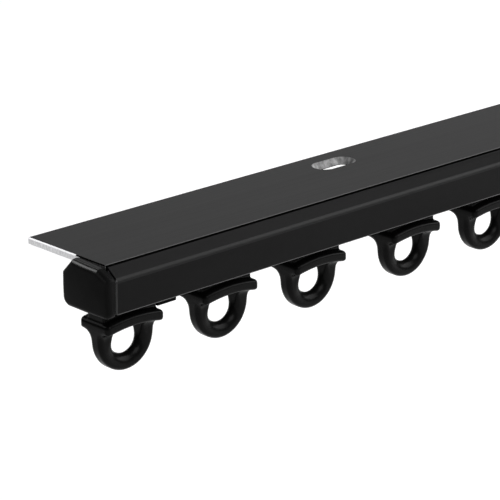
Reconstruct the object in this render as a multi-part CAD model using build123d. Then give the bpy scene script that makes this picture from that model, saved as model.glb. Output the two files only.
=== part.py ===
from build123d import *

import os
from math import hypot

# Curtain track with a flat mounting plate, one running channel and hanging gliders.
# Millimetres, +Z up. The origin lies on the ceiling face, at mid-length, on the line of the
# fixing slots. X runs along the rail, and the front of the rail faces -Y.

# Rail section
RAIL_LENGTH = 347.0
RAIL_HEIGHT = 10.0
BOX_WIDTH = 14.6
PLATE_DEPTH = 28.8
PLATE_THICKNESS = 1.6
PLATE_NOSE_RADIUS = 0.35
WALL = 1.3
LIP_THICKNESS = 1.4
MOUTH_WIDTH = 6.0
CHAMFER_RUN = 3.7
CHAMFER_DROP = 2.2
CHAMFER_EDGE_RADIUS = 1.0
GROOVE_WIDTH = 0.6
GROOVE_DEPTH = 0.7
GROOVE_LIP_DROP = 0.25
FRONT_CORNER_RADIUS = 0.2

# Fixing slots punched through the mounting plate
FIXING_LINE = 21.7
SLOT_LENGTH = 11.9
SLOT_WIDTH = 5.6
SLOT_INSET = 84.6

# End caps
CAP_THICKNESS = 2.3
CAP_TOP_SETBACK = 0.3
CAP_LOWER_OVERHANG = 1.0
CAP_BACK_OVERHANG = 0.5
CAP_BACK_CHAMFER = 3.2
CAP_LOWER_RADIUS = 2.0
CAP_FACE_BEVEL = 0.7
LEG_LENGTH = 9.0
LEG_THICKNESS = 1.6
LEG_TIP_CHAMFER = 0.6
LEG_CLEARANCE = 0.05

# Gliders
GLIDER_LENGTH = 14.6
FOOT_WIDTH = 10.4
FOOT_THICKNESS = 2.4
FOOT_CORNER = 1.8
NECK_CLEARANCE = 0.4
GLIDE_CLEARANCE = 0.15
HEADROOM = 0.4
SHOULDER_LENGTH = 15.9
SHOULDER_WIDTH = 8.6
SHOULDER_THICKNESS = 2.1
SHOULDER_DROP = 2.45
SHOULDER_SAG = 0.85
SHOULDER_CROWN = 6.0
SHOULDER_CORNER = 0.4
EYE_WIDTH = 14.7
EYE_DROP = 15.45
EYE_WALL = 2.75
EYE_FLOOR = 3.4
EYE_BAND = 3.7
EYE_BEVEL = 0.8
GUSSET_INSET = 0.4
GUSSET_DROP = 2.4

# Spacing of the gliders along the rail, which is wider once after the third
GLIDER_COUNT = 13
WIDE_EXTRA = 3.6
WIDE_AFTER = 3
END_PLAY = 0.3

# End stops, each clamped by a grub screw against the roof of the channel
STOP_LENGTH = 5.4
STOP_DROP = 3.0
STOP_HEAD = 2.8
SCREW_RADIUS = 1.5
SCREW_RECESS = 0.4
SCREW_SOCKET_FLATS = 1.5
SCREW_SOCKET_DEPTH = 1.8
THREAD_CLEARANCE = 0.05

# Sizes that follow from the ones above
RAIL_END = RAIL_LENGTH / 2
ROOF = RAIL_HEIGHT - PLATE_THICKNESS
GROOVE_FRONT = CHAMFER_RUN - GROOVE_WIDTH
CHAMFER_RISE = CHAMFER_DROP - GROOVE_LIP_DROP
CHAMFER_SLANT = hypot(GROOVE_FRONT, CHAMFER_RISE)
# The channel's upper corners run parallel to the outer chamfer, one wall inside it.
CORNER_HEIGHT = RAIL_HEIGHT - CHAMFER_DROP + WALL * (CHAMFER_RISE - CHAMFER_SLANT) / GROOVE_FRONT
CORNER_DEPTH = WALL + (ROOF - CORNER_HEIGHT) * GROOVE_FRONT / CHAMFER_RISE
CHANNEL_MIDDLE = BOX_WIDTH / 2
NECK_WIDTH = MOUTH_WIDTH - 2 * NECK_CLEARANCE
FOOT_BOTTOM = LIP_THICKNESS + GLIDE_CLEARANCE
FOOT_TOP = FOOT_BOTTOM + FOOT_THICKNESS
STOP_NEAR = 2 * END_PLAY + GLIDER_LENGTH
STOP_FAR = STOP_NEAR + STOP_LENGTH


def across(depth, height):
    """A point of the rail's section: depth behind its front face, height above its lower face."""
    return (depth - FIXING_LINE, height - RAIL_HEIGHT)


def section(points, radii):
    """A face across the rail with one corner radius for each point."""
    return Plane.YZ * make_face(FilletPolyline(points, radius=radii, close=True))


def along_rail(face, start, length):
    """A solid that carries a section along the rail from X = start."""
    return Pos(start, 0, 0) * extrude(face, amount=length, dir=(1, 0, 0))


def in_plan(face, low, high):
    """A solid that carries a plan outline, centred on the channel, between two heights."""
    y, z = across(CHANNEL_MIDDLE, low)
    return Pos(0, y, z) * extrude(face, amount=high - low)


def mirrored(part):
    """The same piece for the other end of the rail."""
    return mirror(part, about=Plane.YZ)


def make_rail():
    """One extrusion: mounting plate, channel box with its mouth below, and a grooved front chamfer."""
    nose = min(PLATE_NOSE_RADIUS, 0.45 * PLATE_THICKNESS)
    outline = [
        (across(0, 0), FRONT_CORNER_RADIUS),
        (across(0, RAIL_HEIGHT - CHAMFER_DROP), CHAMFER_EDGE_RADIUS),
        (across(GROOVE_FRONT, RAIL_HEIGHT - GROOVE_LIP_DROP), 0),
        (across(GROOVE_FRONT, RAIL_HEIGHT - GROOVE_DEPTH), 0),
        (across(CHAMFER_RUN, RAIL_HEIGHT - GROOVE_DEPTH), 0),
        (across(CHAMFER_RUN, RAIL_HEIGHT), 0),
        (across(PLATE_DEPTH, RAIL_HEIGHT), nose),
        (across(PLATE_DEPTH, ROOF), nose),
        (across(BOX_WIDTH, ROOF), 0),
        (across(BOX_WIDTH, 0), 0),
    ]
    mouth_front = CHANNEL_MIDDLE - MOUTH_WIDTH / 2
    mouth_back = CHANNEL_MIDDLE + MOUTH_WIDTH / 2
    channel = [
        across(mouth_front, -LIP_THICKNESS),
        across(mouth_front, LIP_THICKNESS),
        across(WALL, LIP_THICKNESS),
        across(WALL, CORNER_HEIGHT),
        across(CORNER_DEPTH, ROOF),
        across(BOX_WIDTH - CORNER_DEPTH, ROOF),
        across(BOX_WIDTH - WALL, CORNER_HEIGHT),
        across(BOX_WIDTH - WALL, LIP_THICKNESS),
        across(mouth_back, LIP_THICKNESS),
        across(mouth_back, -LIP_THICKNESS),
    ]
    points, radii = zip(*outline)
    profile = section(points, radii) - section(channel, [0] * len(channel))
    rail = along_rail(profile, -RAIL_END, RAIL_LENGTH)
    slot = extrude(SlotOverall(SLOT_LENGTH, SLOT_WIDTH), amount=PLATE_THICKNESS, both=True)
    for x in (SLOT_INSET - RAIL_END, RAIL_END - SLOT_INSET):
        rail -= Pos(x, 0, 0) * slot
    return rail


def make_end_cap():
    """The left cap: a bevelled face plate with two legs that grip the upper walls of the channel."""
    top = RAIL_HEIGHT - CAP_TOP_SETBACK
    back = BOX_WIDTH + CAP_BACK_OVERHANG
    outline = [
        (across(0, -CAP_LOWER_OVERHANG), CAP_LOWER_RADIUS),
        (across(0, RAIL_HEIGHT - CHAMFER_DROP), CHAMFER_EDGE_RADIUS),
        (across(CHAMFER_RUN, top), 0),
        (across(back - CAP_BACK_CHAMFER, top), 0),
        (across(back, top - CAP_BACK_CHAMFER), 0),
        (across(back, -CAP_LOWER_OVERHANG), CAP_LOWER_RADIUS),
    ]
    points, radii = zip(*outline)
    plate = along_rail(section(points, radii), -RAIL_END - CAP_THICKNESS, CAP_THICKNESS)
    rim = plate.faces().sort_by(Axis.X)[0].edges()
    cap = chamfer(rim, CAP_FACE_BEVEL)

    leg_low = FOOT_TOP + HEADROOM
    leg_high = CORNER_HEIGHT - LEG_CLEARANCE
    front = WALL + LEG_CLEARANCE
    back = BOX_WIDTH - front
    for outer, inner in ((front, front + LEG_THICKNESS), (back, back - LEG_THICKNESS)):
        corners = [
            across(outer, leg_low),
            across(outer, leg_high),
            across(inner, leg_high),
            across(inner, leg_low),
        ]
        leg = along_rail(section(corners, [0] * len(corners)), -RAIL_END, LEG_LENGTH)
        tip = leg.faces().sort_by(Axis.X)[-1].edges()
        cap += chamfer(tip, LEG_TIP_CHAMFER)
    return cap


def stop_middle():
    """The place of the left stop's screw along the rail."""
    return (STOP_NEAR + STOP_FAR) / 2 - RAIL_END


def make_end_stop():
    """The left stop: a T-shaped block that hangs on the lips of the channel, bored for its screw."""
    half_head = FOOT_WIDTH / 2
    half_neck = NECK_WIDTH / 2
    head_top = LIP_THICKNESS + STOP_HEAD
    outline = [
        across(CHANNEL_MIDDLE - half_neck, -STOP_DROP),
        across(CHANNEL_MIDDLE - half_neck, LIP_THICKNESS),
        across(CHANNEL_MIDDLE - half_head, LIP_THICKNESS),
        across(CHANNEL_MIDDLE - half_head, head_top),
        across(CHANNEL_MIDDLE + half_head, head_top),
        across(CHANNEL_MIDDLE + half_head, LIP_THICKNESS),
        across(CHANNEL_MIDDLE + half_neck, LIP_THICKNESS),
        across(CHANNEL_MIDDLE + half_neck, -STOP_DROP),
    ]
    block = along_rail(section(outline, [0] * len(outline)), STOP_NEAR - RAIL_END, STOP_LENGTH)
    bore = in_plan(Circle(SCREW_RADIUS + THREAD_CLEARANCE), -STOP_DROP, head_top)
    return block - Pos(stop_middle(), 0, 0) * bore


def make_stop_screw():
    """The left stop's grub screw, with a hexagon socket below and its flat point on the roof."""
    low = SCREW_RECESS - STOP_DROP
    screw = in_plan(Circle(SCREW_RADIUS), low, ROOF)
    socket = RegularPolygon(SCREW_SOCKET_FLATS / 2, 6, major_radius=False)
    screw -= in_plan(socket, low, low + SCREW_SOCKET_DEPTH)
    return Pos(stop_middle(), 0, 0) * screw


def under_channel(solid):
    """Carries a solid drawn about the glider's own middle, with height 0 at the lips, to its place."""
    y, z = across(CHANNEL_MIDDLE, 0)
    return Pos(0, y, z) * solid


def make_shoulder():
    """The glider's plate below the rail: a level crown, two sloping wings and cut corners."""
    half = SHOULDER_LENGTH / 2
    crown = -SHOULDER_DROP
    tip = crown - SHOULDER_SAG
    upper = [(-half, tip), (-SHOULDER_CROWN / 2, crown), (SHOULDER_CROWN / 2, crown), (half, tip)]
    lower = [(x, z - SHOULDER_THICKNESS) for x, z in reversed(upper)]
    wings = Plane.XZ * Polygon(*upper, *lower, align=None)
    shoulder = extrude(wings, amount=SHOULDER_WIDTH / 2, both=True)
    return under_channel(chamfer(shoulder.edges().filter_by(Axis.Z), SHOULDER_CORNER))


def d_shape(half_width, middle, top):
    """A D on its back: a half circle below a middle height, and straight sides from there to a top."""
    sides = Pos(0, (top + middle) / 2) * Rectangle(2 * half_width, top - middle)
    return Pos(0, middle) * Circle(half_width) + sides


def make_eye():
    """The glider's D-shaped eye: a bevelled loop, its arms widened by gussets under the shoulder."""
    top = -SHOULDER_DROP - SHOULDER_SAG
    hole_top = -SHOULDER_DROP - SHOULDER_THICKNESS
    outer = EYE_WIDTH / 2
    inner = outer - EYE_WALL
    half_band = EYE_BAND / 2
    loop = d_shape(outer, outer - EYE_DROP, top)
    loop -= d_shape(inner, EYE_FLOOR + inner - EYE_DROP, hole_top)
    eye = extrude(Plane.XZ * loop, amount=half_band, both=True)
    rims = [face.outer_wire().edges() for face in eye.faces().filter_by(Axis.Y)]
    eye = chamfer([edge for rim in rims for edge in rim if edge.center().Z < top], EYE_BEVEL)

    foot = SHOULDER_WIDTH / 2 - GUSSET_INSET
    gusset = Polygon(
        (half_band, hole_top - GUSSET_DROP),
        (foot, hole_top),
        (foot, top),
        (-foot, top),
        (-foot, hole_top),
        (-half_band, hole_top - GUSSET_DROP),
        align=None,
    )
    width = EYE_WALL - EYE_BEVEL
    for x in (-inner - width, inner):
        eye += Pos(x, 0, 0) * extrude(Plane.YZ * gusset, amount=width)
    return under_channel(eye)


def make_glider():
    """One moulding at X = 0: foot in the channel, neck through its mouth, shoulder and eye below."""
    foot_plan = chamfer(Rectangle(GLIDER_LENGTH, FOOT_WIDTH).vertices(), FOOT_CORNER)
    foot = in_plan(foot_plan, FOOT_BOTTOM, FOOT_TOP)
    neck = in_plan(
        Rectangle(GLIDER_LENGTH, NECK_WIDTH), -SHOULDER_DROP - SHOULDER_SAG, FOOT_BOTTOM
    )
    return foot + neck + make_shoulder() + make_eye()


def glider_places():
    """Where the gliders hang: one held at each end by cap and stop, and the rest shared out between."""
    first = END_PLAY + GLIDER_LENGTH / 2 - RAIL_END
    pitch = (-2 * first - WIDE_EXTRA) / (GLIDER_COUNT - 1)
    return [
        first + pitch * spaces + (WIDE_EXTRA if spaces >= WIDE_AFTER else 0)
        for spaces in range(GLIDER_COUNT)
    ]


def main():
    cap, stop, screw, glider = make_end_cap(), make_end_stop(), make_stop_screw(), make_glider()
    parts = {
        "rail": make_rail(),
        "end_cap_left": cap,
        "end_cap_right": mirrored(cap),
        "end_stop_left": stop,
        "end_stop_right": mirrored(stop),
        "stop_screw_left": screw,
        "stop_screw_right": mirrored(screw),
    }
    for number, x in enumerate(glider_places(), 1):
        parts[f"glider_{number:02d}"] = Pos(x, 0, 0) * glider
        print(f"glider_{number:02d} hangs at X = {x:.2f}")
    os.makedirs("parts", exist_ok=True)
    for name, part in parts.items():
        export_step(part, f"parts/{name}.step")


if __name__ == "__main__":
    main()
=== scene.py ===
"""Studio scene of a black ceiling curtain track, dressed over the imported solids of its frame.

The classes hold sizes in millimetres, and a mesh goes to metres when it is made. Everything is drawn in
the frame of the solids: +X along the rail, -Y to its front and +Z up to the ceiling.
"""

import logging
import math
from collections.abc import Callable, Sequence
from dataclasses import dataclass
from enum import Enum

import bmesh
import bpy
import numpy as np
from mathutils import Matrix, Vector


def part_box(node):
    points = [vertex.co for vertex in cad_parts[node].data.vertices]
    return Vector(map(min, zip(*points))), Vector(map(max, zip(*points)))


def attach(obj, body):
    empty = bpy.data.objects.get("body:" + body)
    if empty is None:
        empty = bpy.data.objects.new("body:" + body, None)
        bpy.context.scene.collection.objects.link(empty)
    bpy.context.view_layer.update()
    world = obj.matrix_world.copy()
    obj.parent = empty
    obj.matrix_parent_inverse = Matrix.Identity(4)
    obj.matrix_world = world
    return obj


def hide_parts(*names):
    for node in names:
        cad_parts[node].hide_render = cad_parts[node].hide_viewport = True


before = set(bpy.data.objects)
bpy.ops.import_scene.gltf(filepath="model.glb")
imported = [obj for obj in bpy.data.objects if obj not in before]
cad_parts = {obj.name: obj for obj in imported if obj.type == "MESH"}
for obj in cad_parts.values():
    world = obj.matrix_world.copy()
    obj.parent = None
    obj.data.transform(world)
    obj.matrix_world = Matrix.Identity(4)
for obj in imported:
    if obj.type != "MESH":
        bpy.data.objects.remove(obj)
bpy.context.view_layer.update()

MM = 0.001
WHITE = (1.0, 1.0, 1.0, 1.0)
NOISE_LOW = 0.3
NOISE_HIGH = 0.7
SHARP_ANGLE = math.radians(32)
log = logging.getLogger("curtain_track")

Point = tuple[float, float]
Triple = tuple[float, float, float]
Form = Callable[[np.ndarray], np.ndarray]
Socket = bpy.types.NodeSocket


class Slot(Enum):
    """The record's material slots."""

    COAT = "rail_coat"
    CAP = "cap_plastic"
    STOP = "stop_plastic"
    SCREW = "screw_steel"
    GLIDER = "glider_plastic"


class RailFace(Enum):
    """Kinds of face on the rail, by the number of their material."""

    COATED = 0
    SAWN = 1
    PUNCHED = 2
    WORN = 3
    # Painted shade: faces in the groove and on top of the end edge under the cap, coloured near black.
    GROOVE = 4
    BEND = 5


class End(Enum):
    """The two ends of the rail, by the sign of X."""

    LEFT = -1
    RIGHT = 1

    @property
    def word(self) -> str:
        """The word that ends the names of the pieces there."""
        return self.name.lower()


def grey(level: float) -> Triple:
    """A colour without any hue."""
    return (level, level, level)


def box_mm(node: str) -> tuple[np.ndarray, np.ndarray]:
    """The lowest and highest corner of a solid, in millimetres.

    Args:
        node: The name of the solid's node.

    Returns:
        Two arrays of X, Y and Z.
    """
    low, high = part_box(node)
    return np.array(low) / MM, np.array(high) / MM


class Shader:
    """A material with a principled shader, and short ways to wire its nodes."""

    def __init__(self, name: str, constants: dict[str, float | Sequence[float]]) -> None:
        """Starts the material and sets what is the same all over its surface.

        Args:
            name: The material's name.
            constants: Values for the shader's own sockets, by the socket's name.
        """
        self.material = bpy.data.materials.new(name)
        self.material.use_nodes = True
        self.tree = self.material.node_tree
        self.surface = self.tree.nodes["Principled BSDF"]
        for socket, value in constants.items():
            self.surface.inputs[socket].default_value = value

    def node(self, kind: str) -> bpy.types.Node:
        """Adds a node of a kind."""
        return self.tree.nodes.new(kind)

    def wire(self, source: Socket, target: Socket) -> None:
        """Links two sockets."""
        self.tree.links.new(source, target)

    def feed(self, source: Socket, name: str) -> None:
        """Links a socket to one of the shader's own."""
        self.wire(source, self.surface.inputs[name])

    def noise(self, per_mm: Triple, detail: float = 2.0) -> Socket:
        """Noise laid out in the piece's own space.

        Args:
            per_mm: How many features there are in a millimetre along X, Y and Z.
            detail: The number of finer layers.

        Returns:
            A value from 0 to 1.
        """
        place = self.node("ShaderNodeTexCoord")
        spread = self.node("ShaderNodeMapping")
        spread.inputs["Scale"].default_value = [count / MM for count in per_mm]
        noise = self.node("ShaderNodeTexNoise")
        noise.inputs["Scale"].default_value = 1.0
        noise.inputs["Detail"].default_value = detail
        self.wire(place.outputs["Object"], spread.inputs["Vector"])
        self.wire(spread.outputs["Vector"], noise.inputs["Vector"])
        return noise.outputs["Fac"]

    def between(self, value: Socket, low: float, high: float) -> Socket:
        """Spreads a noise value, which stays near one half, over a range.

        Args:
            value: The noise.
            low: The result for the darkest noise.
            high: The result for the lightest noise.

        Returns:
            The value in that range.
        """
        spread = self.node("ShaderNodeMapRange")
        spread.inputs["From Min"].default_value = NOISE_LOW
        spread.inputs["From Max"].default_value = NOISE_HIGH
        spread.inputs["To Min"].default_value = low
        spread.inputs["To Max"].default_value = high
        self.wire(value, spread.inputs["Value"])
        return spread.outputs["Result"]

    def tint(self, value: Socket, dark: Triple, light: Triple) -> Socket:
        """Turns a noise value into a colour between two.

        Args:
            value: The noise.
            dark: The colour for the darkest noise.
            light: The colour for the lightest noise.

        Returns:
            The colour.
        """
        blend = self.node("ShaderNodeValToRGB")
        first, last = blend.color_ramp.elements
        first.position = NOISE_LOW
        last.position = NOISE_HIGH
        first.color = (*dark, 1.0)
        last.color = (*light, 1.0)
        self.wire(value, blend.inputs["Fac"])
        return blend.outputs["Color"]

    def relief(self, layers: Sequence[tuple[Socket, float]]) -> None:
        """Raises the surface by one or more layers of noise, the first one undermost.

        Args:
            layers: Each layer's noise and its depth in millimetres.
        """
        below = None
        for height, depth in layers:
            bump = self.node("ShaderNodeBump")
            bump.inputs["Strength"].default_value = 1.0
            bump.inputs["Distance"].default_value = depth * MM
            self.wire(height, bump.inputs["Height"])
            if below is not None:
                self.wire(below, bump.inputs["Normal"])
            below = bump.outputs["Normal"]
        self.feed(below, "Normal")


@dataclass(frozen=True)
class Finish:
    """What every finish has: a dark and a light tone, and a smooth and a rough end."""

    name: str
    dark: Triple
    light: Triple
    smooth: float
    rough: float

    def spread(
        self, shader: Shader, tone: Socket, wear: Socket, layers: Sequence[tuple[Socket, float]]
    ) -> bpy.types.Material:
        """Spreads colour, roughness and relief over a material.

        Args:
            shader: The material to finish.
            tone: The noise that the colour follows.
            wear: The noise that the roughness follows.
            layers: Each layer of relief, and its depth in millimetres.

        Returns:
            The finished material.
        """
        shader.feed(shader.tint(tone, self.dark, self.light), "Base Color")
        shader.feed(shader.between(wear, self.smooth, self.rough), "Roughness")
        shader.relief(layers)
        return shader.material


@dataclass(frozen=True)
class BlackCoat(Finish):
    """Black satin coat on drawn aluminium, with faint lines along the rail."""

    name: str = "black_coat"
    dark: Triple = (0.0042, 0.0042, 0.0043)
    light: Triple = (0.0060, 0.0060, 0.0061)
    smooth: float = 0.38
    rough: float = 0.41
    gloss: float = 0.055
    lines_per_mm: Triple = (0.004, 2.2, 2.2)
    grain_per_mm: Triple = (5.0, 5.0, 5.0)
    clouds_per_mm: Triple = (0.02, 0.08, 0.08)
    line_depth: float = 0.0003
    grain_depth: float = 0.0010

    def material(self) -> bpy.types.Material:
        """Wires the coat's clouds, drawn lines and grain.

        Returns:
            The coat's material.
        """
        shader = Shader(self.name, {"Specular IOR Level": self.gloss})
        lines = shader.noise(self.lines_per_mm, detail=3.0)
        grain = shader.noise(self.grain_per_mm, detail=1.0)
        clouds = shader.noise(self.clouds_per_mm, detail=2.0)
        return self.spread(shader, clouds, lines, [(lines, self.line_depth), (grain, self.grain_depth)])


@dataclass(frozen=True)
class BareAluminium(Finish):
    """Freshly cut aluminium, with the marks of the saw or the punch."""

    marks_per_mm: Triple
    mark_depth: float = 0.012

    def material(self) -> bpy.types.Material:
        """Wires the cut's upright marks.

        Returns:
            The bare metal's material.
        """
        shader = Shader(self.name, {"Metallic": 1.0})
        marks = shader.noise(self.marks_per_mm, detail=4.0)
        return self.spread(shader, marks, marks, [(marks, self.mark_depth)])


@dataclass(frozen=True)
class Moulding(Finish):
    """Black moulded plastic: glossy from a polished mould, or satin from an etched one."""

    gloss: float
    flow_per_mm: Triple = (0.25, 0.25, 0.25)
    grain_per_mm: Triple = (6.0, 6.0, 6.0)
    flow_depth: float = 0.006
    grain_depth: float = 0.0008

    def material(self) -> bpy.types.Material:
        """Wires the slow waves of the flow and the mould's fine grain.

        Returns:
            The plastic's material.
        """
        shader = Shader(self.name, {"Specular IOR Level": self.gloss})
        flow = shader.noise(self.flow_per_mm, detail=1.0)
        grain = shader.noise(self.grain_per_mm, detail=1.0)
        return self.spread(shader, flow, grain, [(flow, self.flow_depth), (grain, self.grain_depth)])


@dataclass(frozen=True)
class BlackenedSteel(Finish):
    """Oil-blackened steel of the grub screws."""

    name: str = "blackened_steel"
    dark: Triple = (0.045, 0.045, 0.048)
    light: Triple = (0.11, 0.11, 0.115)
    smooth: float = 0.30
    rough: float = 0.48
    stain_per_mm: Triple = (1.6, 1.6, 1.6)
    stain_depth: float = 0.003

    def material(self) -> bpy.types.Material:
        """Wires the uneven blackening.

        Returns:
            The steel's material.
        """
        shader = Shader(self.name, {"Metallic": 1.0})
        stains = shader.noise(self.stain_per_mm, detail=3.0)
        return self.spread(shader, stains, stains, [(stains, self.stain_depth)])


WORN_COAT = BlackCoat("worn_coat", smooth=0.26, rough=0.30, gloss=0.45)
BEND_COAT = BlackCoat("bend_coat", smooth=0.42, rough=0.46, gloss=0.14)
# Painted shade: a near-black, matt copy of the coat that darkens the groove and the joint under the caps,
# where shade falls.
PAINTED_SHADE_COAT = BlackCoat("painted_shade_coat", grey(0.0006), grey(0.0012), smooth=0.60, rough=0.70, gloss=0.01)
SAWN_ALUMINIUM = BareAluminium(
    "sawn_aluminium",
    (0.46, 0.46, 0.47),
    (0.86, 0.86, 0.87),
    smooth=0.28,
    rough=0.50,
    marks_per_mm=(4.0, 4.5, 0.7),
)
PUNCHED_ALUMINIUM = BareAluminium(
    "punched_aluminium", grey(0.18), grey(0.62), smooth=0.78, rough=0.92, marks_per_mm=(0.9, 0.9, 0.5)
)
GLOSS_MOULDING = Moulding("gloss_moulding", grey(0.0028), grey(0.0040), smooth=0.22, rough=0.28, gloss=0.055)
SATIN_MOULDING = Moulding("satin_moulding", grey(0.0076), grey(0.0096), smooth=0.17, rough=0.24, gloss=0.02)
POLISHED_RIM = Moulding("polished_rim", grey(0.0076), grey(0.0096), smooth=0.20, rough=0.26, gloss=0.45)
STOP_MOULDING = Moulding("stop_moulding", grey(0.0025), grey(0.0038), smooth=0.52, rough=0.62, gloss=0.02)


def make_object(name: str, points: np.ndarray, faces: Sequence[Sequence[int]]) -> bpy.types.Object:
    """Makes an object in the scene from points in millimetres.

    Args:
        name: The object's name.
        points: One row of X, Y and Z for each point.
        faces: The point numbers of each face.

    Returns:
        The new object, shaded smooth.
    """
    mesh = bpy.data.meshes.new(name)
    mesh.from_pydata((np.asarray(points, float) * MM).tolist(), [], [list(map(int, face)) for face in faces])
    mesh.polygons.foreach_set("use_smooth", [True] * len(mesh.polygons))
    mesh.update()
    mesh.validate()
    made = bpy.data.objects.new(name, mesh)
    bpy.context.scene.collection.objects.link(made)
    return made


def turn_out(made: bpy.types.Object) -> None:
    """Turns all faces of an object outwards.

    Args:
        made: The object, with closed parts.
    """
    work = bmesh.new()
    work.from_mesh(made.data)
    bmesh.ops.recalc_face_normals(work, faces=work.faces)
    work.to_mesh(made.data)
    work.free()


def freeze(made: bpy.types.Object) -> bpy.types.Object:
    """Turns an object's modifiers into plain mesh.

    Args:
        made: The object with modifiers.

    Returns:
        The same object, with the finished mesh and no modifiers.
    """
    evaluated = made.evaluated_get(bpy.context.evaluated_depsgraph_get())
    mesh = bpy.data.meshes.new_from_object(evaluated)
    made.modifiers.clear()
    made.data = mesh
    mesh.name = made.name
    return made


def cut(made: bpy.types.Object, cutters: Sequence[bpy.types.Object]) -> bpy.types.Object:
    """Cuts closed shapes out of an object and removes them.

    Args:
        made: The object to cut.
        cutters: The shapes to take away.

    Returns:
        The same object with the cuts.
    """
    for cutter in cutters:
        step = made.modifiers.new("cut", "BOOLEAN")
        step.operation = "DIFFERENCE"
        step.solver = "EXACT"
        step.object = cutter
    freeze(made)
    for cutter in cutters:
        bpy.data.objects.remove(cutter)
    return made


def soften(made: bpy.types.Object, radius: float, rounds: int = 3) -> bpy.types.Object:
    """Rounds every sharp edge a little, as real edges are, and keeps flat faces flat.

    Args:
        made: The object with sharp edges.
        radius: The width of the rounding, in millimetres.
        rounds: The number of faces across the rounding.

    Returns:
        The same object with soft edges.
    """
    bevel = made.modifiers.new("soft_edges", "BEVEL")
    bevel.limit_method = "ANGLE"
    bevel.angle_limit = SHARP_ANGLE
    bevel.width = radius * MM
    bevel.segments = rounds
    made.modifiers.new("flat_faces", "WEIGHTED_NORMAL")
    return freeze(made)


def loft(rings: Sequence[np.ndarray]) -> tuple[np.ndarray, list[list[int]]]:
    """Joins rings with the same number of points into one closed skin.

    Args:
        rings: The rings from one end to the other, turning the same way.

    Returns:
        The points, and the faces with one at each end.
    """
    count = len(rings[0])
    faces = [list(range(count))[::-1]]
    for low in range(0, count * (len(rings) - 1), count):
        for n in range(count):
            after = (n + 1) % count
            faces.append([low + n, low + after, low + count + after, low + count + n])
    faces.append([count * (len(rings) - 1) + n for n in range(count)])
    return np.concatenate(rings), faces


@dataclass(frozen=True)
class Corner:
    """A corner of an outline, and how far it is rounded."""

    across: float
    up: float
    radius: float = 0.0
    steps: int = 8

    def arc(self, before: "Corner", after: "Corner") -> list[Point]:
        """The points that round this corner off.

        Args:
            before: The corner before it on the outline.
            after: The corner after it.

        Returns:
            The points of the arc, or the corner itself where it is sharp.
        """
        if self.radius <= 0:
            return [(self.across, self.up)]
        here = Vector((self.across, self.up))
        back = (Vector((before.across, before.up)) - here).normalized()
        ahead = (Vector((after.across, after.up)) - here).normalized()
        opening = back.angle(ahead)
        turn = math.pi - opening
        centre = here + (back + ahead).normalized() * self.radius / math.sin(opening / 2)
        reach = self.radius / math.tan(opening / 2)
        start, end = here + back * reach - centre, here + ahead * reach - centre
        points = []
        for step in range(self.steps + 1):
            share = step / self.steps
            spoke = start * math.sin((1 - share) * turn) + end * math.sin(share * turn)
            points.append(tuple(centre + spoke / math.sin(turn)))
        return points


def outline(corners: Sequence[Corner]) -> np.ndarray:
    """The points of a closed outline with its corners rounded.

    Args:
        corners: The corners in order.

    Returns:
        One row of two coordinates for each point.
    """
    points: list[Point] = []
    for n, corner in enumerate(corners):
        points += corner.arc(corners[n - 1], corners[(n + 1) % len(corners)])
    return np.array(points)


def drawn_in(corners: Sequence[Corner], inset: float, least: float) -> list[Corner]:
    """The corners of an outline whose sides have all moved inwards.

    Args:
        corners: The corners of the full outline, anticlockwise.
        inset: How far each side moves in.
        least: The smallest radius that a round corner keeps.

    Returns:
        The corners of the smaller outline.
    """
    places = [Vector((corner.across, corner.up)) for corner in corners]
    smaller = []
    for n, corner in enumerate(corners):
        back = (places[n] - places[n - 1]).normalized()
        ahead = (places[(n + 1) % len(places)] - places[n]).normalized()
        inward = Vector((-back.y, back.x)) + Vector((-ahead.y, ahead.x))
        shift = inward * inset / (1 + back.dot(ahead))
        moved = places[n] + shift
        radius = max(corner.radius - inset, least) if corner.radius else 0.0
        smaller.append(Corner(moved.x, moved.y, radius, corner.steps))
    return smaller


def along_x(section: np.ndarray, x: float | np.ndarray) -> np.ndarray:
    """A ring across the rail, from points of Y and Z and one X or an X for each."""
    return np.column_stack([np.full(len(section), x), section])


@dataclass
class Piece:
    """What a visible piece stands for, and what it moves with."""

    node: str
    body: str
    slot: Slot

    def fit(self, made: bpy.types.Object, *materials: bpy.types.Material) -> None:
        """Dresses an object and puts it in the place of its solid.

        Args:
            made: The finished object, in place.
            materials: Its materials, the first one for all faces without a number of their own.
        """
        made.data.materials.clear()
        for material in materials:
            made.data.materials.append(material)
        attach(made, self.body)
        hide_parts(self.node)
        log.info("%s rides on %s with %d faces", made.name, self.body, len(made.data.polygons))


@dataclass
class RailSection:
    """Sizes of the rail's section that the other pieces line up with."""

    front: float
    bottom: float
    height: float
    plate_depth: float
    half_length: float
    box_width: float = 14.6
    plate_thickness: float = 1.6
    wall: float = 1.3
    lip: float = 1.4
    mouth: float = 6.0
    chamfer_run: float = 3.7
    chamfer_drop: float = 2.2

    @classmethod
    def from_solid(cls) -> "RailSection":
        """Reads the outer sizes from the rail's solid."""
        low, high = box_mm("rail")
        return cls(low[1], low[2], high[2] - low[2], high[1] - low[1], high[0])

    @property
    def roof(self) -> float:
        """The height of the channel's roof above the rail's lower face."""
        return self.height - self.plate_thickness

    @property
    def middle(self) -> float:
        """The Y of the channel's middle."""
        return self.front + self.box_width / 2

    def placed(self, points: np.ndarray) -> np.ndarray:
        """Points given as depth behind the front and height above the lower face, as Y and Z."""
        return np.asarray(points) + [self.front, self.bottom]


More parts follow.
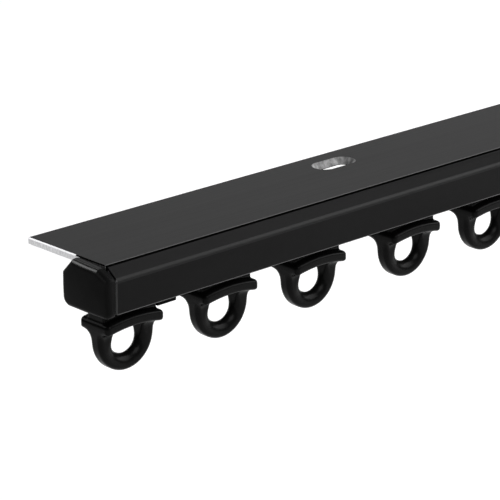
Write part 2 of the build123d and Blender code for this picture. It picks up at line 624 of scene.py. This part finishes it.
@dataclass
class Rail:
    """The extrusion: mounting plate, box channel, grooved chamfer and punched fixing slots."""

    section: RailSection
    groove_width: float = 0.8
    groove_depth: float = 0.9
    groove_lip: float = 0.25
    nose_radius: float = 0.35
    brow_radius: float = 0.12
    front_radius: float = 0.3
    chamfer_radius: float = 1.3
    bend_drop: float = 0.25
    slot_length: float = 12.0
    slot_width: float = 5.9
    slot_inset: float = 84.6
    slot_taper: float = 1.1
    slot_taper_depth: float = 1.45
    edge: float = 0.1
    sawn_edge: float = 0.25
    covered: float = 13.0
    slot_steps: int = 14
    flush: float = 0.1
    least_lean: float = 0.1
    bend_lean: float = 0.05
    top_lean: float = 0.5

    def corners(self) -> list[Corner]:
        """The section's corners, round the outside and back through the mouth and the channel.

        Returns:
            The corners by depth behind the front and height above the lower face.
        """
        part = self.section
        top, box, mid = part.height, part.box_width, part.box_width / 2
        run, drop = part.chamfer_run - self.groove_width, part.chamfer_drop - self.groove_lip
        slant = math.hypot(run, drop)
        corner_up = top - part.chamfer_drop + part.wall * (drop - slant) / run
        corner_in = part.wall + (part.roof - corner_up) * run / drop
        mouth_front, mouth_back = mid - part.mouth / 2, mid + part.mouth / 2
        return [
            Corner(0, 0, self.front_radius, 4),
            Corner(mouth_front, 0),
            Corner(mouth_front, part.lip),
            Corner(part.wall, part.lip),
            Corner(part.wall, corner_up),
            Corner(corner_in, part.roof),
            Corner(box - corner_in, part.roof),
            Corner(box - part.wall, corner_up),
            Corner(box - part.wall, part.lip),
            Corner(mouth_back, part.lip),
            Corner(mouth_back, 0),
            Corner(box, 0),
            Corner(box, part.roof),
            Corner(part.plate_depth, part.roof, self.nose_radius),
            Corner(part.plate_depth, top, self.nose_radius),
            Corner(self.covered, top),
            Corner(part.chamfer_run, top, self.brow_radius, 4),
            Corner(part.chamfer_run, top - self.groove_depth),
            Corner(run, top - self.groove_depth),
            Corner(run, top - self.groove_lip),
            Corner(0, top - part.chamfer_drop - self.bend_drop, self.chamfer_radius),
        ]

    def slot_cutter(self, x: float) -> bpy.types.Object:
        """A closed shape that punches one fixing slot.

        Args:
            x: The slot's place along the rail.

        Returns:
            The shape, as an object to cut with.
        """
        turn = np.linspace(-math.pi / 2, math.pi / 2, self.slot_steps + 1)
        straight = (self.slot_length - self.slot_width) / 2
        through, depth = self.section.plate_thickness, self.slot_taper_depth
        levels = [(-2 * through, self.slot_taper), (-depth, self.slot_taper), (0.0, 0.0), (through, 0.0)]
        rings = []
        for z, inset in levels:
            radius = self.slot_width / 2 - inset
            right = np.column_stack([straight + radius * np.cos(turn), radius * np.sin(turn)])
            plan = np.concatenate([right, -right])
            rings.append(np.column_stack([plan[:, 0] + x, plan[:, 1], np.full(len(plan), z)]))
        return make_object("slot_cutter", *loft(rings))

    def kind(self, face: bpy.types.MeshPolygon) -> RailFace:
        """Tells coated faces from cut ones, from edges where the coat is worn smooth, and from faces that get
        painted shade.

        The broken edge of an end is bare where the end is free, and coated along the cap, with painted shade
        on its upward faces where the cap meets it.
        A face within a share of an edge's width, called flush, still counts as lying in the plane.

        Args:
            face: A face of the rail's finished mesh.

        Returns:
            The kind of face.
        """
        part = self.section
        x, y, z = face.center / MM
        depth, from_end, lean = y - part.front, part.half_length - abs(x), face.normal
        slot_off = abs(from_end - self.slot_inset)
        if slot_off < self.slot_length / 2 and abs(y) < self.slot_width / 2:
            in_wall = self.edge * self.flush < -z < part.plate_thickness - self.edge
            return RailFace.PUNCHED if in_wall else RailFace.COATED
        if from_end < self.sawn_edge * (1 - self.flush):
            if from_end < self.sawn_edge * self.flush or depth > self.covered:
                return RailFace.SAWN
            # Painted shade on the upward faces of the end edge under the cap, and the worn coat on the
            # others.
            return RailFace.GROOVE if lean.z > self.top_lean else RailFace.WORN
        inside = part.chamfer_run - self.groove_width - self.edge < depth < part.chamfer_run + self.edge
        # The faces inside the groove get painted shade.
        if inside and self.groove_lip < -z < part.plate_thickness / 2 + self.edge:
            return RailFace.GROOVE
        leans_out = lean.y < -self.least_lean
        if depth < self.chamfer_radius / 2 and leans_out and lean.z > self.bend_lean:
            return RailFace.BEND
        brow = abs(depth - part.chamfer_run) < self.brow_radius and -z < self.brow_radius
        lower_edge = depth < self.front_radius and leans_out and lean.z < -self.least_lean
        return RailFace.WORN if brow or lower_edge else RailFace.COATED

    def build(self) -> bpy.types.Object:
        """Draws the section, carries it along X, punches the slots and softens the edges.

        Returns:
            The bare extrusion.
        """
        part = self.section
        end, corners = part.half_length, self.corners()
        line = part.placed(outline(corners))
        sawn = part.placed(outline(drawn_in(corners, self.sawn_edge, self.edge)))
        shoulder = end - self.sawn_edge
        rings = [along_x(sawn, -end), along_x(line, -shoulder), along_x(line, shoulder), along_x(sawn, end)]
        made = make_object("rail_extrusion", *loft(rings))
        slot_at = part.half_length - self.slot_inset
        cut(made, [self.slot_cutter(-slot_at), self.slot_cutter(slot_at)])
        return soften(made, self.edge)

    def dress(self, finishes: dict[RailFace, bpy.types.Material]) -> None:
        """Builds the rail and gives each kind of face its finish.

        Args:
            finishes: The material for each kind of face.
        """
        made = self.build()
        Piece("rail", "rail", Slot.COAT).fit(made, *(finishes[kind] for kind in RailFace))
        for face in made.data.polygons:
            face.material_index = self.kind(face).value


@dataclass
class EndCap:
    """A moulded cap with a softly rounded face and two legs that grip the channel."""

    section: RailSection
    end: End
    thickness: float
    lower_overhang: float
    back_overhang: float = 0.5
    top_setback: float = 0.3
    top_fall: float = 0.3
    back_chamfer: float = 3.2
    lower_radius: float = 2.0
    corner_radius: float = 0.5
    chamfer_radius: float = 1.0
    rim_radius: float = 1.1
    least_radius: float = 0.12
    rim_steps: int = 7
    rim_lean: float = 0.3
    gap_edge: float = 0.3
    crown: float = 0.35
    crown_steps: int = 8
    side_points: tuple[float, ...] = (0.3, 0.4, 0.5, 0.6, 0.7)
    leg_length: float = 9.0
    leg_thickness: float = 1.6
    leg_low: float = 4.35
    leg_high: float = 7.03
    leg_gap: float = 0.05
    leg_tip: float = 0.6
    edge: float = 0.15
    edge_steps: int = 2

    @classmethod
    def from_solid(cls, section: RailSection, end: End) -> "EndCap":
        """Reads the cap's outer sizes from its solid.

        Args:
            section: The rail's section.
            end: The end of the rail that it closes.

        Returns:
            The cap.
        """
        low, high = box_mm(f"end_cap_{end.word}")
        outer = max(abs(low[0]), abs(high[0]))
        return cls(section, end, outer - section.half_length, section.bottom - low[2])

    def corners(self) -> list[Corner]:
        """The corners of the cap's face, anticlockwise, with points along its sides.

        Returns:
            The corners by depth behind the rail's front and height above its lower face.
        """
        part = self.section
        top, back = part.height - self.top_setback, part.box_width + self.back_overhang
        low = -self.lower_overhang
        turns = [
            Corner(0, low, self.lower_radius),
            Corner(back, low, self.lower_radius),
            Corner(back, top - self.back_chamfer, self.corner_radius),
            Corner(back - self.back_chamfer, top + self.top_fall / 2, self.corner_radius),
            Corner(part.chamfer_run, top - self.top_fall / 2, self.corner_radius),
            Corner(0, part.height - part.chamfer_drop, self.chamfer_radius),
        ]
        corners = []
        for here, after in zip(turns, turns[1:] + turns[:1]):
            corners.append(here)
            for share in self.side_points:
                across = here.across + (after.across - here.across) * share
                corners.append(Corner(across, here.up + (after.up - here.up) * share))
        return corners

    def crown_rise(self, line: np.ndarray) -> np.ndarray:
        """How far the crowned face stands out: most in its middle, and not at all halfway along its sides.

        Args:
            line: Points of Y and Z.

        Returns:
            The rise at each point.
        """
        part = self.section
        tall = part.height - self.top_setback + self.lower_overhang
        reach = np.array([part.box_width + self.back_overhang, tall])
        middle = part.placed(reach / 2 - [0.0, self.lower_overhang])
        away = (line - middle) / (reach / 2)
        return self.crown * (1 - (away * away).sum(axis=1))

    def plate_rings(self) -> list[np.ndarray]:
        """The rings of the face plate, from the rail's end over the rounded rim to the face's crown.

        Returns:
            The rings, each with the same number of points.
        """
        part = self.section
        corners = self.corners()
        flat = self.thickness - self.rim_radius
        stations = [(0.0, self.gap_edge, 0.0), (self.gap_edge, 0.0, 0.0)]
        for step in range(self.rim_steps + 1):
            share = step / self.rim_steps
            angle = math.pi / 2 * share
            rim_in, rim_out = self.rim_radius * (1 - math.cos(angle)), self.rim_radius * math.sin(angle)
            stations.append((flat + rim_out, rim_in, share))
        lines = []
        for out, inset, share in stations:
            line = outline(drawn_in(corners, inset, self.least_radius))
            lines.append((out, part.placed(line), share))
        edge_line = lines[-1][1]
        middle = edge_line.mean(axis=0)
        for step in range(1, self.crown_steps):
            shrink = 1 - step / self.crown_steps
            lines.append((self.thickness, middle + (edge_line - middle) * shrink, 1.0))
        return [
            along_x(line, self.end.value * (part.half_length + out + self.crown_rise(line) * share))
            for out, line, share in lines
        ]

    def leg_rings(self, outer: float, inner: float) -> list[np.ndarray]:
        """The rings of one leg, with its tip tapered to find its way into the channel.

        Args:
            outer: The depth of the leg's outer side.
            inner: The depth of its inner side.

        Returns:
            Three rings from the cap inwards.
        """
        part = self.section
        low, high, tip = self.leg_low, self.leg_high, self.leg_tip
        step = math.copysign(tip, inner - outer)
        full = [(outer, low), (outer, high), (inner, high), (inner, low)]
        slim = [
            (outer + step, low + tip),
            (outer + step, high - tip),
            (inner - step, high - tip),
            (inner - step, low + tip),
        ]
        stations = [(-self.edge, full), (self.leg_length - tip, full), (self.leg_length, slim)]
        return [
            along_x(part.placed(np.array(points)), self.end.value * (part.half_length - inwards))
            for inwards, points in stations
        ]

    def build(self) -> bpy.types.Object:
        """Makes the plate and both legs as one moulding.

        Returns:
            The bare cap.
        """
        part = self.section
        front = part.wall + self.leg_gap
        back = part.box_width - front
        points, faces = loft(self.plate_rings())
        for outer, inner in ((front, front + self.leg_thickness), (back, back - self.leg_thickness)):
            leg_points, leg_faces = loft(self.leg_rings(outer, inner))
            faces += [[n + len(points) for n in face] for face in leg_faces]
            points = np.concatenate([points, leg_points])
        made = make_object(f"cap_{self.end.word}", points, faces)
        turn_out(made)
        return soften(made, self.edge, self.edge_steps)

    def dress(self, plastic: bpy.types.Material, rim: bpy.types.Material) -> None:
        """Builds the cap and puts it on the rail's end.

        Args:
            plastic: The cap's finish.
            rim: The finish of its upper rim, which hands have polished.
        """
        made = self.build()
        Piece(f"end_cap_{self.end.word}", "rail", Slot.CAP).fit(made, plastic, rim)
        for face in made.data.polygons:
            along, across, up = face.normal
            upper = min(up, along * self.end.value) > self.rim_lean > abs(across)
            face.material_index = int(upper)


@dataclass
class EndStop:
    """A stop block that hangs on the channel's lips, and the grub screw that clamps it."""

    section: RailSection
    end: End
    near: float
    far: float
    low: float
    high: float
    head_width: float = 10.4
    neck_width: float = 5.2
    bore: float = 1.55
    drill_overrun: float = 1.0
    edge: float = 0.25
    bore_steps: int = 40
    screw_radius: float = 1.5
    thread_depth: float = 0.22
    thread_pitch: float = 0.5
    thread_steps: int = 24
    rings_per_turn: int = 6
    socket_flats: float = 1.5
    socket_depth: float = 1.8
    socket_cone: float = 0.3
    socket_tip: float = 0.02

    @classmethod
    def from_solid(cls, section: RailSection, end: End) -> "EndStop":
        """Reads the block's place and height from its solid.

        Args:
            section: The rail's section.
            end: The end of the rail that it is near.

        Returns:
            The stop.
        """
        low, high = box_mm(f"end_stop_{end.word}")
        return cls(section, end, low[0], high[0], low[2] - section.bottom, high[2] - section.bottom)

    @property
    def middle(self) -> float:
        """The X of the screw."""
        return (self.near + self.far) / 2

    def round_ring(self, radius: float | np.ndarray, z: float, count: int) -> np.ndarray:
        """A ring about the screw's axis.

        Args:
            radius: The radius at each point, or one for all.
            z: The ring's height.
            count: The number of points.

        Returns:
            The ring's points.
        """
        turn = 2 * math.pi * np.arange(count) / count
        flat = np.column_stack([radius * np.cos(turn), radius * np.sin(turn), np.full(count, z)])
        return flat + [self.middle, self.section.middle, 0.0]

    def block(self) -> bpy.types.Object:
        """The block, bored for its screw, with soft edges.

        Returns:
            The bare block.
        """
        part = self.section
        mid, head, neck = part.box_width / 2, self.head_width / 2, self.neck_width / 2
        corners = [
            Corner(mid - neck, self.low),
            Corner(mid + neck, self.low),
            Corner(mid + neck, part.lip),
            Corner(mid + head, part.lip),
            Corner(mid + head, self.high),
            Corner(mid - head, self.high),
            Corner(mid - head, part.lip),
            Corner(mid - neck, part.lip),
        ]
        line = part.placed(outline(corners))
        ends = [along_x(line, self.near), along_x(line, self.far)]
        made = make_object(f"stop_{self.end.word}", *loft(ends))
        turn_out(made)
        over = self.drill_overrun
        heights = (part.bottom + self.low - over, part.bottom + self.high + over)
        rings = [self.round_ring(self.bore, z, self.bore_steps) for z in heights]
        drill = make_object("drill", *loft(rings))
        turn_out(drill)
        return soften(cut(made, [drill]), self.edge)

    def screw(self) -> bpy.types.Object:
        """The grub screw: a thread that runs out at both ends, and a hexagon socket below.

        Returns:
            The bare screw.
        """
        low, high = (values[2] for values in box_mm(f"stop_screw_{self.end.word}"))
        count, lead, sixth = self.thread_steps, self.thread_pitch, math.pi / 3
        turn = 2 * math.pi * np.arange(count) / count
        hexagon = self.socket_flats / 2 / np.cos((turn + sixth / 2) % sixth - sixth / 2)
        floor = low + self.socket_depth
        rings = [
            self.round_ring(self.socket_tip, floor + self.socket_cone, count),
            self.round_ring(hexagon, floor, count),
            self.round_ring(hexagon, low, count),
        ]
        root = self.screw_radius - self.thread_depth
        stations = int((high - low) / lead * self.rings_per_turn)
        for z in np.linspace(low, high, stations + 1):
            wave = np.abs(((z - low) / lead + turn / (2 * math.pi)) % 1.0 - 0.5) * 2
            run_out = min(1.0, (z - low) / lead, (high - z) / lead)
            rings.append(self.round_ring(root + self.thread_depth * wave * run_out, z, count))
        made = make_object(f"grub_screw_{self.end.word}", *loft(rings))
        turn_out(made)
        return made

    def dress(self, plastic: bpy.types.Material, steel: bpy.types.Material) -> None:
        """Builds the block and its screw.

        Args:
            plastic: The block's finish.
            steel: The screw's finish.
        """
        Piece(f"end_stop_{self.end.word}", "rail", Slot.STOP).fit(self.block(), plastic)
        Piece(f"stop_screw_{self.end.word}", "rail", Slot.SCREW).fit(self.screw(), steel)


def melt(first: np.ndarray, second: np.ndarray, reach: float | np.ndarray) -> np.ndarray:
    """Joins two forms with a fillet between them.

    Args:
        first: Distances to one form.
        second: Distances to the other.
        reach: How far the fillet reaches.

    Returns:
        Distances to both as one form.
    """
    share = np.maximum(reach - np.abs(first - second), 0.0) / reach
    return np.minimum(first, second) - share * share * reach / 4


def ramp(value: np.ndarray, low: float, high: float) -> np.ndarray:
    """Rises smoothly from 0 at the low value to 1 at the high one."""
    share = np.clip((value - low) / (high - low), 0.0, 1.0)
    return share * share * (3 - 2 * share)


def rounded(first: np.ndarray, second: np.ndarray, radius: float | np.ndarray) -> np.ndarray:
    """The overlap of two forms, with the edge where they meet rounded.

    Args:
        first: Distances to one form.
        second: Distances to the other.
        radius: The radius of the rounded edge.

    Returns:
        Distances to the overlap.
    """
    a, b = first + radius, second + radius
    return np.minimum(np.maximum(a, b), 0.0) + np.hypot(np.maximum(a, 0.0), np.maximum(b, 0.0)) - radius


class Skin:
    """An even mesh of four-sided faces wrapped round a form that is given by distances."""

    probe: float = 0.02
    least_slope: float = 0.05
    first_rounds: int = 4
    even_rounds: int = 6
    later_rounds: int = 2
    even_share: float = 0.5

    def __init__(self, form: Form, low: Triple, high: Triple, cell: float) -> None:
        """Wraps the form.

        Args:
            form: Distances to the form for points of X, Y and Z, below zero inside it.
            low: The lowest corner of the space to search.
            high: The highest corner.
            cell: The size of a face.
        """
        self.form = form
        self.axes = [np.arange(a, b + cell, cell) for a, b in zip(low, high)]
        grid = np.stack(np.meshgrid(*self.axes, indexing="ij"), axis=-1)
        self.inside = form(grid) < 0
        self.cell = cell
        self.number = self.number_cells()
        self.faces = self.find_faces()
        self.points = self.find_points()

    def number_cells(self) -> np.ndarray:
        """Numbers the cells that the surface passes through.

        Returns:
            The number of each cell, with -1 for those that it misses.
        """
        span = [slice(None, -1), slice(1, None)]
        corners = [self.inside[a, b, c] for a in span for b in span for c in span]
        count = np.sum(corners, axis=0)
        crossed = (count > 0) & (count < len(corners))
        number = np.full(crossed.shape, -1)
        number[crossed] = np.arange(crossed.sum())
        return number

    def find_faces(self) -> np.ndarray:
        """Finds a face for each grid line that crosses the surface, from the four cells round it.

        Returns:
            One row of four cell numbers for each face.
        """
        faces = []
        for axis in range(3):
            state = np.moveaxis(self.inside, axis, 0)
            number = np.moveaxis(self.number, axis, 0)
            crossing = state[:-1] != state[1:]
            i, j, k = np.nonzero(crossing[:, 1:-1, 1:-1])
            ring = [number[i, j, k], number[i, j + 1, k], number[i, j + 1, k + 1], number[i, j, k + 1]]
            quads = np.column_stack(ring)
            flip = state[i, j + 1, k + 1] != (axis == 1)
            quads[~flip] = quads[~flip][:, ::-1]
            faces.append(quads)
        return np.concatenate(faces)

    def slope(self, points: np.ndarray) -> np.ndarray:
        """The direction in which the distance grows at each point."""
        rises = [self.form(points + push) - self.form(points - push) for push in np.eye(3) * self.probe]
        return np.stack(rises, axis=-1) / (2 * self.probe)

    def settle(self, points: np.ndarray, rounds: int) -> np.ndarray:
        """Moves points on to the surface.

        Args:
            points: Points near the surface.
            rounds: The number of steps towards it.

        Returns:
            The points on the surface.
        """
        for _ in range(rounds):
            slope = self.slope(points)
            length = np.maximum((slope * slope).sum(-1), self.least_slope)
            points = points - slope * (self.form(points) / length)[:, None]
        return points

    def find_points(self) -> np.ndarray:
        """Puts one point in each crossed cell, evens the points out and settles them on the surface.

        Returns:
            One row of X, Y and Z for each numbered cell.
        """
        cells = np.argwhere(self.number >= 0)
        start = np.array([axis[0] for axis in self.axes])
        points = self.settle(start + (cells + 0.5) * self.cell, self.first_rounds)
        pairs = np.concatenate([self.faces[:, [n, (n + 1) % 4]] for n in range(4)])
        pairs = np.concatenate([pairs, pairs[:, ::-1]])
        share = np.bincount(pairs[:, 0], minlength=len(points))[:, None]
        for _ in range(self.even_rounds):
            total = np.zeros_like(points)
            np.add.at(total, pairs[:, 0], points[pairs[:, 1]])
            evened = points * (1 - self.even_share) + total / share * self.even_share
            points = self.settle(evened, self.later_rounds)
        return points


@dataclass
class Glider:
    """A moulded glider: foot in the channel, neck, arched shoulder and D-shaped eye, all rounded over.

    Its form is drawn about the glider's middle, with height 0 at the rail's lower face.
    """

    foot_length: float = 14.0
    foot_width: float = 10.4
    foot_low: float = 1.55
    foot_high: float = 3.95
    foot_corner: float = 1.8
    foot_edge: float = 0.45
    neck_length: float = 14.6
    neck_width: float = 5.2
    neck_edge: float = 0.35
    shoulder_width: float = 9.2
    shoulder_thickness: float = 2.5
    shoulder_drop: float = 2.42
    shoulder_sag: float = 0.8
    shoulder_edge: float = 0.8
    end_swell: float = 0.42
    swell_low: float = -9.0
    swell_high: float = -4.6
    eye_width: float = 15.0
    eye_drop: float = 15.6
    eye_wall: float = 3.55
    eye_floor: float = 3.75
    eye_band: float = 3.4
    eye_edge: float = 1.0
    eye_lip: float = 3.0
    flare: float = 2.6
    web_lap: float = 0.3
    hole_edge: float = 0.25
    lip_top: float = -5.6
    lip_full: float = -12.0
    cell: float = 0.25
    margin: float = 0.6

    def under_shoulder(self, x: np.ndarray) -> np.ndarray:
        """The height of the shoulder's arched lower side."""
        sag = self.shoulder_sag * (2 * x / self.eye_width) ** 2
        return -self.shoulder_drop - self.shoulder_thickness - sag

    def shoulder(self, x: np.ndarray, y: np.ndarray, z: np.ndarray) -> np.ndarray:
        """Distances to an endless shoulder, a plate with rounded edges that arches along the rail.

        Args:
            x: Places along the rail.
            y: Places across it.
            z: Heights.

        Returns:
            The distances.
        """
        middle = self.under_shoulder(x) + self.shoulder_thickness / 2
        side, flat = np.abs(y) - self.shoulder_width / 2, np.abs(z - middle) - self.shoulder_thickness / 2
        return rounded(side, flat, self.shoulder_edge)

    def d_shape(
        self, x: np.ndarray, z: np.ndarray, half: float, low: float, top: float | np.ndarray
    ) -> np.ndarray:
        """Distances to a D on its back.

        Args:
            x: Places along the rail.
            z: Heights.
            half: Half the D's width, which is the radius of its round side.
            low: The height of its lowest point.
            top: The height of its upper side, one for all or one for each place.

        Returns:
            The distances.
        """
        below = np.minimum(z - low - half, 0.0)
        return np.maximum(np.hypot(x, below) - half, z - top)

    def eye(self, x: np.ndarray, y: np.ndarray, z: np.ndarray) -> np.ndarray:
        """Distances to the shoulder and the eye below it, with flush ends and the hole cut through both.

        Args:
            x: Places along the rail.
            y: Places across it.
            z: Heights.

        Returns:
            The distances.
        """
        half = self.eye_width / 2
        under = self.under_shoulder(x)
        web = np.maximum(np.abs(y) - self.eye_band / 2, z - under - self.web_lap)
        body = melt(web, self.shoulder(x, y, z), self.flare)
        swell = self.end_swell * ramp(z, self.swell_low, self.swell_high)
        ends = self.d_shape(x, z, half, -self.eye_drop, 0.0) - swell
        solid = rounded(body, ends, self.eye_edge)
        floor = self.eye_floor - self.eye_drop
        hole = self.d_shape(x, z, half - self.eye_wall, floor, under)
        lip = self.eye_lip + (self.hole_edge - self.eye_lip) * ramp(z, self.lip_full, self.lip_top)
        return -melt(-solid, hole, lip)

    def upper(self, x: np.ndarray, y: np.ndarray, z: np.ndarray) -> np.ndarray:
        """Distances to the neck and the foot that it carries in the channel.

        Args:
            x: Places along the rail.
            y: Places across it.
            z: Heights.

        Returns:
            The distances.
        """
        half, wide = self.foot_length / 2, self.foot_width / 2
        slant = (np.abs(x) + np.abs(y) - half - wide + self.foot_corner) / math.sqrt(2)
        plan = np.maximum(np.maximum(np.abs(x) - half, np.abs(y) - wide), slant)
        mid, thick = (self.foot_high + self.foot_low) / 2, (self.foot_high - self.foot_low) / 2
        foot = rounded(plan, np.abs(z - mid) - thick, self.foot_edge)
        neck_plan = rounded(np.abs(x) - self.neck_length / 2, np.abs(y) - self.neck_width / 2, self.neck_edge)
        low = -self.shoulder_drop - self.shoulder_sag
        neck = np.maximum(neck_plan, np.maximum(z - mid, low - z))
        return melt(foot, neck, self.foot_edge)

    def form(self, points: np.ndarray) -> np.ndarray:
        """Distances to the whole glider."""
        x, y, z = points[..., 0], points[..., 1], points[..., 2]
        return melt(self.eye(x, y, z), self.upper(x, y, z), self.neck_edge)

    def build(self) -> bpy.types.Mesh:
        """Wraps the form in a mesh that all gliders share.

        Returns:
            The mesh.
        """
        half, wide = self.eye_width / 2 + self.end_swell + self.margin, self.foot_width / 2 + self.margin
        low = (-half, -wide, -self.eye_drop - self.margin)
        skin = Skin(self.form, low, (half, wide, self.foot_high + self.margin), self.cell)
        made = make_object("glider_form", skin.points, skin.faces)
        mesh = made.data
        bpy.data.objects.remove(made)
        return mesh

    def dress(self, section: RailSection, plastic: bpy.types.Material) -> None:
        """Hangs one glider at the place of each glider solid.

        Args:
            section: The rail's section.
            plastic: The gliders' finish.
        """
        mesh = self.build()
        for node in sorted(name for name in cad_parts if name.startswith("glider_")):
            low, high = box_mm(node)
            made = bpy.data.objects.new(node.replace("glider", "moulded_glider"), mesh)
            bpy.context.scene.collection.objects.link(made)
            made.location = Vector(((low[0] + high[0]) / 2, section.middle, section.bottom)) * MM
            Piece(node, node, Slot.GLIDER).fit(made, plastic)


@dataclass(frozen=True)
class Softbox:
    """A large soft lamp, by its place, size and power, aimed at the middle of the rail."""

    name: str
    place: Triple
    size: Point
    watts: float
    aim: Triple = (0.0, 0.0, 0.0)

    def light(self) -> None:
        """Hangs the lamp in the studio."""
        lamp = bpy.data.lights.new(self.name, "AREA")
        lamp.shape = "RECTANGLE"
        lamp.size, lamp.size_y = (side * MM for side in self.size)
        lamp.energy = self.watts
        hung = bpy.data.objects.new(self.name, lamp)
        hung.location = Vector(self.place) * MM
        towards = Vector(self.aim) - Vector(self.place)
        hung.rotation_mode = "QUATERNION"
        hung.rotation_quaternion = towards.to_track_quat("-Z", "Y")
        hung.visible_camera = False
        bpy.context.scene.collection.objects.link(hung)


@dataclass(frozen=True)
class Camera:
    """The photograph's camera, measured from the rail's lower front left corner."""

    stand_off: Triple = (-328.05, -386.33, 188.85)
    azimuth: float = -43.419
    elevation: float = 19.029
    lens: float = 189.6
    sensor: float = 36.0
    nearest: float = 10.0
    farthest: float = 50000.0

    def shoot(self, section: RailSection) -> None:
        """Sets the camera up as the scene's own.

        Args:
            section: The rail's section, whose corner the camera stands off from.
        """
        data = bpy.data.cameras.new("photo_camera")
        data.lens = self.lens
        data.sensor_width = self.sensor
        data.clip_start, data.clip_end = self.nearest * MM, self.farthest * MM
        stand = bpy.data.objects.new("photo_camera", data)
        corner = Vector((-section.half_length, section.front, section.bottom))
        stand.location = (corner + Vector(self.stand_off)) * MM
        turn, rise = math.radians(self.azimuth), math.radians(self.elevation)
        level = math.cos(rise)
        back = Vector((math.sin(turn) * level, -math.cos(turn) * level, math.sin(rise)))
        stand.rotation_mode = "QUATERNION"
        stand.rotation_quaternion = (-back).to_track_quat("-Z", "Y")
        bpy.context.scene.collection.objects.link(stand)
        bpy.context.scene.camera = stand


@dataclass(frozen=True)
class Studio:
    """A plain white floor under soft light."""

    floor_drop: float = 140.0
    floor_size: float = 6000.0
    floor_dark: Triple = grey(0.78)
    floor_light: Triple = grey(0.80)
    floor_rough: float = 0.9
    floor_glow: float = 0.42
    mottle_per_mm: Triple = (0.004, 0.004, 0.004)
    sky: float = 0.10
    softboxes: tuple[Softbox, ...] = (
        Softbox("back_right", (1000.0, 1050.0, 800.0), (1500.0, 1100.0), 5.8),
        Softbox("right_window", (850.0, -740.0, 610.0), (900.0, 900.0), 11.5),
        Softbox("front_window", (-220.0, -1060.0, 740.0), (700.0, 700.0), 6.5),
        Softbox("back_left", (-640.0, 890.0, 690.0), (500.0, 500.0), 2.5),
        Softbox("overhead", (620.0, -200.0, 1150.0), (700.0, 700.0), 5.0),
    )

    def floor_material(self) -> bpy.types.Material:
        """Pale floor that keeps shadows and looks white to the eye and in reflections.

        Returns:
            The floor's material.
        """
        constants = {"Roughness": self.floor_rough, "Specular IOR Level": 0.0, "Emission Color": WHITE}
        shader = Shader("studio_floor", constants)
        mottle = shader.noise(self.mottle_per_mm, detail=1.0)
        shader.feed(shader.tint(mottle, self.floor_dark, self.floor_light), "Base Color")
        path = shader.node("ShaderNodeLightPath")
        seen = path.outputs["Is Camera Ray"]
        for kind in ("Is Glossy Ray", "Is Transmission Ray"):
            either = shader.node("ShaderNodeMath")
            either.operation = "MAXIMUM"
            shader.wire(seen, either.inputs[0])
            shader.wire(path.outputs[kind], either.inputs[1])
            seen = either.outputs["Value"]
        glow = shader.node("ShaderNodeMath")
        glow.operation = "MULTIPLY"
        glow.inputs[1].default_value = self.floor_glow
        shader.wire(seen, glow.inputs[0])
        shader.feed(glow.outputs["Value"], "Emission Strength")
        return shader.material

    def build(self, section: RailSection) -> None:
        """Lays the floor, lights the studio and sets how colours are shown.

        Args:
            section: The rail's section.
        """
        half, z = self.floor_size / 2, section.bottom - self.floor_drop
        corners = [(-half, -half, z), (half, -half, z), (half, half, z), (-half, half, z)]
        floor = make_object("studio_floor", np.array(corners), [[0, 1, 2, 3]])
        floor.data.materials.append(self.floor_material())
        world = bpy.data.worlds.new("studio_sky")
        world.use_nodes = True
        background = world.node_tree.nodes["Background"]
        background.inputs["Color"].default_value = WHITE
        background.inputs["Strength"].default_value = self.sky
        bpy.context.scene.world = world
        for softbox in self.softboxes:
            softbox.light()
        bpy.context.scene.view_settings.view_transform = "Standard"


def main() -> None:
    """Builds and dresses the track, then sets up the studio."""
    logging.basicConfig(level=logging.INFO, format="%(name)s: %(message)s")
    section = RailSection.from_solid()
    finishes = {
        RailFace.COATED: BlackCoat(),
        RailFace.SAWN: SAWN_ALUMINIUM,
        RailFace.PUNCHED: PUNCHED_ALUMINIUM,
        RailFace.WORN: WORN_COAT,
        # Painted shade in the groove and along the joint under the caps.
        RailFace.GROOVE: PAINTED_SHADE_COAT,
        RailFace.BEND: BEND_COAT,
    }
    Rail(section).dress({kind: finish.material() for kind, finish in finishes.items()})
    cap_plastic, cap_rim = SATIN_MOULDING.material(), POLISHED_RIM.material()
    stop_plastic = STOP_MOULDING.material()
    steel = BlackenedSteel().material()
    for end in End:
        EndCap.from_solid(section, end).dress(cap_plastic, cap_rim)
        EndStop.from_solid(section, end).dress(stop_plastic, steel)
    Glider().dress(section, GLOSS_MOULDING.material())
    Studio().build(section)
    Camera().shoot(section)


if __name__ == "__main__":
    main()
